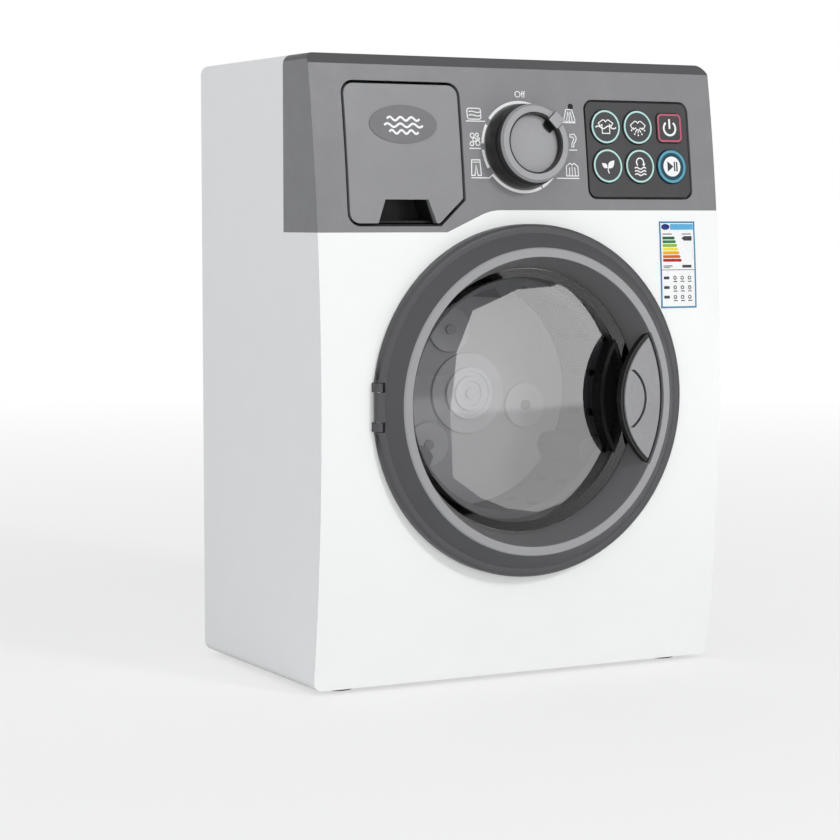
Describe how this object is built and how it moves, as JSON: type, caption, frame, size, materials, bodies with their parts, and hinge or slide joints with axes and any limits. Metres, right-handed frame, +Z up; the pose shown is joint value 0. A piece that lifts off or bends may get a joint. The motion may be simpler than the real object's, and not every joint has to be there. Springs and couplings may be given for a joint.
{
  "type": "toy washing machine",
  "caption": "Toy front-loading washing machine with a hinged round door, a turning drum, a dial, push keys and a sliding detergent drawer.",
  "frame": {"origin": "on the floor, at the middle of the bounding box of the whole toy with its door closed", "axes": "+Z up, the front with the door faces -Y, +X to the right of a person who looks at the front"},
  "size_m": [0.196, 0.1337, 0.265],
  "materials": {
    "shell_white": "satin white moulded plastic",
    "panel_grey": "satin mid grey moulded plastic",
    "drawer_grey": "satin light grey moulded plastic",
    "badge_grey": "printed oval, satin",
    "tray_grey": "satin light grey moulded plastic",
    "plate_dark": "satin dark grey moulded plastic",
    "key_dark": "satin dark grey caps with printed rings",
    "key_teal": "satin dark teal cap with a printed ring",
    "dial_dark": "satin dark grey moulded plastic",
    "dial_light": "satin light grey moulded plastic",
    "door_dark": "semi-gloss dark grey moulded plastic",
    "door_light": "semi-gloss light grey moulded plastic",
    "window_smoke": "clear smoked plastic, glossy",
    "trim_black": "satin black moulded plastic",
    "foot_rubber": "matte black rubber",
    "label_print": "glossy printed sticker",
    "drum_grey": "semi-gloss dark grey moulded plastic",
    "drum_plate": "semi-gloss mid grey moulded plastic",
    "hub_light": "semi-gloss light grey moulded plastic",
    "tub_dark": "matte dark grey moulded plastic",
    "inner_white": "matte natural moulded plastic",
    "gear_white": "natural acetal plastic",
    "membrane_grey": "silicone rubber sheet with domes",
    "board_green": "fibre board with green lacquer",
    "lamp_clear": "clear lamp",
    "steel": "plated steel",
    "brass": "plain brass",
    "cell_wrap": "plain wrapped battery cells"
  },
  "bodies": {
    "cabinet": {"rear_shell": "shell_white", "front_fascia": "shell_white", "control_panel": "panel_grey", "foot_pads": "foot_rubber", "energy_label": "label_print", "key_plate": "plate_dark", "keypad_membrane": "membrane_grey", "circuit_board": "board_green", "board_screws": "steel", "mode_switch": "trim_black", "indicator_lamp": "trim_black", "drawer_housing": "trim_black", "hinge_bracket": "door_dark", "hinge_pin": "steel", "hinge_screws": "steel", "latch_catch": "trim_black", "drum_tub": "tub_dark", "tub_screws": "steel", "door_seal": "trim_black", "drum_lamp": "lamp_clear", "shaft_bush": "brass", "gear_case": "inner_white", "idler_axle": "steel", "motor": "steel", "battery_box": "inner_white", "battery_cells": "cell_wrap", "battery_door": "shell_white", "speaker": "trim_black", "shell_screws": "steel"},
    "door": {"door_frame": "door_dark", "door_bezel": "door_light", "door_window": "window_smoke", "door_back_ring": "door_dark", "door_screws": "steel", "door_grip": "trim_black", "grip_cover": "door_light", "finger_cup": "trim_black", "latch_hook": "trim_black"},
    "drum_body": {"drum": "drum_grey", "drum_back_plate": "drum_plate", "hub_cap": "hub_light", "hub_screws": "steel", "drum_shaft": "steel", "drum_gear": "gear_white"},
    "idler": {"idler_gear": "gear_white"},
    "motor_rotor": {"motor_pinion": "brass"},
    "dial": {"dial_skirt": "dial_dark", "dial_rim_ring": "dial_light", "dial_disc": "dial_light", "dial_pointer": "dial_light", "dial_shaft": "steel"},
    "drawer": {"drawer_front": "drawer_grey", "drawer_tray": "tray_grey", "drawer_badge": "badge_grey"},
    "key_wash_cap": {"key_wash": "key_dark"},
    "key_rinse_cap": {"key_rinse": "key_dark"},
    "key_power_cap": {"key_power": "key_dark"},
    "key_gentle_cap": {"key_gentle": "key_dark"},
    "key_spin_cap": {"key_spin": "key_dark"},
    "key_start_cap": {"key_start": "key_teal"}
  },
  "joints": [
    {"name": "door_hinge", "type": "hinge", "parent": "cabinet", "child": "door", "pos_m": [-0.0731, -0.0588, 0.12], "axis": [0, 0, -1], "range_deg": [0, 115]},
    {"name": "drum_spin", "type": "hinge", "parent": "cabinet", "child": "drum_body", "pos_m": [0, -0.0015, 0.12], "axis": [0, 1, 0], "continuous": true},
    {"name": "idler_turn", "type": "hinge", "parent": "cabinet", "child": "idler", "pos_m": [0.015, 0.03, 0.14598], "axis": [0, 1, 0], "continuous": true},
    {"name": "motor_turn", "type": "hinge", "parent": "cabinet", "child": "motor_rotor", "pos_m": [0.0025, 0.035, 0.16763], "axis": [0, 1, 0], "continuous": true},
    {"name": "dial_turn", "type": "hinge", "parent": "cabinet", "child": "dial", "pos_m": [0, -0.04963, 0.2275], "axis": [0, -0.992, 0.1266], "continuous": true},
    {"name": "drawer_slide", "type": "slide", "parent": "cabinet", "child": "drawer", "axis": [0, -1, 0], "range_m": [0, 0.04]},
    {"name": "key_wash_press", "type": "slide", "parent": "cabinet", "child": "key_wash_cap", "axis": [0, 0.992, -0.1266], "range_m": [0, 0.0009], "stiffness_N_per_m": 600},
    {"name": "key_rinse_press", "type": "slide", "parent": "cabinet", "child": "key_rinse_cap", "axis": [0, 0.992, -0.1266], "range_m": [0, 0.0009], "stiffness_N_per_m": 600},
    {"name": "key_power_press", "type": "slide", "parent": "cabinet", "child": "key_power_cap", "axis": [0, 0.992, -0.1266], "range_m": [0, 0.0009], "stiffness_N_per_m": 600},
    {"name": "key_gentle_press", "type": "slide", "parent": "cabinet", "child": "key_gentle_cap", "axis": [0, 0.992, -0.1266], "range_m": [0, 0.0009], "stiffness_N_per_m": 600},
    {"name": "key_spin_press", "type": "slide", "parent": "cabinet", "child": "key_spin_cap", "axis": [0, 0.992, -0.1266], "range_m": [0, 0.0009], "stiffness_N_per_m": 600},
    {"name": "key_start_press", "type": "slide", "parent": "cabinet", "child": "key_start_cap", "axis": [0, 0.992, -0.1266], "range_m": [0, 0.0009], "stiffness_N_per_m": 600}
  ],
  "couplings": [
    {"joint": "idler_turn", "follows": "drum_spin", "ratio": -4},
    {"joint": "motor_turn", "follows": "drum_spin", "ratio": 16}
  ]
}
